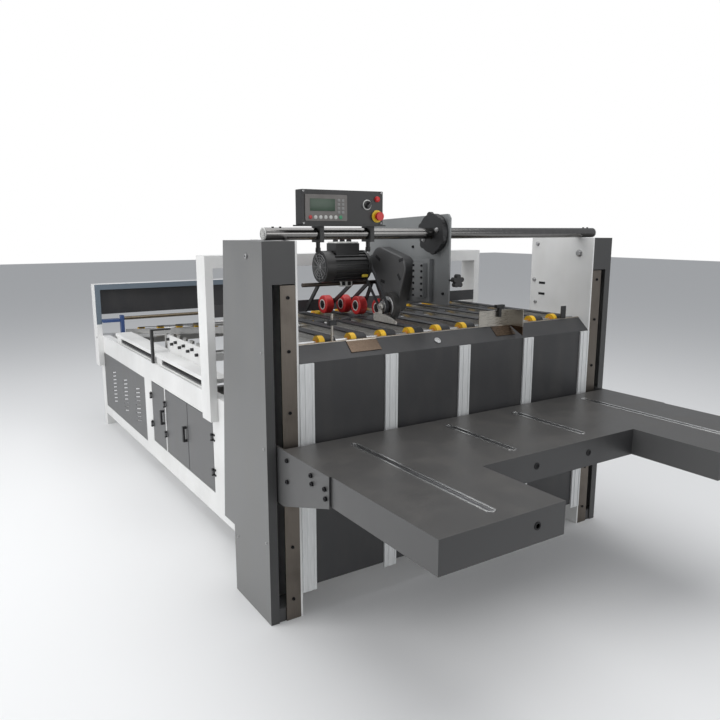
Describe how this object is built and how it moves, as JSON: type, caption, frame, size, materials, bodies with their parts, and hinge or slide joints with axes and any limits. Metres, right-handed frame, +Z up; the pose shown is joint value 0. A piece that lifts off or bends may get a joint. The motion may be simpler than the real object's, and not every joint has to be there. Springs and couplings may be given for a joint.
{
  "type": "folder gluer",
  "caption": "Semi-automatic carton folder gluer with a lifting feed table, belt feed bed, sliding glue head, folding section and steel cabinet base.",
  "frame": {"origin": "on the floor under the middle of the machine's overall box", "axes": "+X to the right along the front, +Y from the feed table to the rear, +Z up"},
  "size_m": [1.87, 4.21, 1.635],
  "materials": {
    "white_paint": "semi-gloss",
    "grey_paint": "satin",
    "charcoal_paint": "satin",
    "black_paint": "satin",
    "plate_paint": "satin",
    "blue_paint": "satin",
    "bare_steel": "brushed",
    "bearing_steel": "ground",
    "polished_steel": "polished",
    "stainless": "brushed",
    "aluminium": "anodised",
    "casting": "cast",
    "belt_rubber": "matt",
    "red_rubber": "matt",
    "yellow_plastic": "matt",
    "black_plastic": "matt",
    "grey_plastic": "matt",
    "red_plastic": "gloss"
  },
  "bodies": {
    "machine": {"base_frame": "white_paint", "bed_sheets": "stainless", "belt_channels": "bare_steel", "belt_pulleys": "yellow_plastic", "belt_shafts": "bearing_steel", "control_box": "black_paint", "control_mount": "black_paint", "cross_plates": "charcoal_paint", "deck": "white_paint", "display_bezel": "grey_plastic", "door_hinges": "black_paint", "feed_belts": "belt_rubber", "fold_guides": "white_paint", "fold_knobs": "black_plastic", "front_panel": "charcoal_paint", "gauge_stand": "black_paint", "guide_rails": "bare_steel", "panel_strips": "aluminium", "portal_frame": "white_paint", "post_covers": "grey_paint", "rear_bearings": "blue_paint", "rear_frame": "white_paint", "rear_roller": "bare_steel", "rim_guides": "stainless", "rim_knobs": "black_plastic", "side_covers": "grey_paint", "side_plates": "white_paint", "stop_button": "red_plastic", "top_shaft": "polished_steel", "transport_beams": "bare_steel", "transport_belts": "belt_rubber"},
    "feed_table": {"lift_table": "charcoal_paint", "table_liners": "stainless", "table_brackets": "charcoal_paint", "bracket_bearings": "bearing_steel"},
    "glue_head": {"glue_plate": "plate_paint", "plate_clamp": "black_paint", "star_knob": "black_plastic", "glue_motor": "black_paint", "belt_cover": "plate_paint", "drive_pulleys": "bearing_steel", "drive_belt": "belt_rubber", "head_brackets": "plate_paint", "glue_shoe": "casting", "arm_rod": "stainless", "wheel_arms": "black_paint"},
    "glue_wheel_body": {"glue_wheel": "belt_rubber"},
    "rear_door": {"door_rear": "grey_paint", "handle_rear": "black_plastic"},
    "middle_door": {"door_middle": "grey_paint", "handle_middle": "black_plastic"},
    "front_door": {"door_front": "grey_paint"},
    "press_wheel_body_1": {"press_wheel_1": "red_rubber"},
    "press_wheel_body_2": {"press_wheel_2": "red_rubber"},
    "press_wheel_body_3": {"press_wheel_3": "red_rubber"},
    "press_wheel_body_4": {"press_wheel_4": "red_rubber"}
  },
  "joints": [
    {"name": "table_lift", "type": "slide", "parent": "machine", "child": "feed_table", "axis": [0, 0, 1], "range_m": [-0.42, 0.28]},
    {"name": "head_slide", "type": "slide", "parent": "machine", "child": "glue_head", "axis": [1, 0, 0], "range_m": [-0.18, 0.6]},
    {"name": "glue_wheel_spin", "type": "hinge", "parent": "glue_head", "child": "glue_wheel_body", "pos_m": [-0.16, -0.864, 1.155], "axis": [1, 0, 0], "continuous": true},
    {"name": "rear_door_hinge", "type": "hinge", "parent": "machine", "child": "rear_door", "pos_m": [-0.807, 0.764, 0.395], "axis": [0, 0, -1], "range_deg": [0, 105]},
    {"name": "middle_door_hinge", "type": "hinge", "parent": "machine", "child": "middle_door", "pos_m": [-0.807, 0.495, 0.395], "axis": [0, 0, -1], "range_deg": [0, 105]},
    {"name": "front_door_hinge", "type": "hinge", "parent": "machine", "child": "front_door", "pos_m": [-0.807, -0.264, 0.395], "axis": [0, 0, 1], "range_deg": [0, 105]},
    {"name": "press_wheel_1_spin", "type": "hinge", "parent": "glue_head", "child": "press_wheel_body_1", "pos_m": [-0.27, -0.47, 1.135], "axis": [1, 0, 0], "continuous": true},
    {"name": "press_wheel_2_spin", "type": "hinge", "parent": "glue_head", "child": "press_wheel_body_2", "pos_m": [-0.179, -0.49, 1.135], "axis": [1, 0, 0], "continuous": true},
    {"name": "press_wheel_3_spin", "type": "hinge", "parent": "glue_head", "child": "press_wheel_body_3", "pos_m": [-0.16, -0.597, 1.135], "axis": [1, 0, 0], "continuous": true},
    {"name": "press_wheel_4_spin", "type": "hinge", "parent": "glue_head", "child": "press_wheel_body_4", "pos_m": [-0.135, -0.742, 1.135], "axis": [1, 0, 0], "continuous": true}
  ]
}
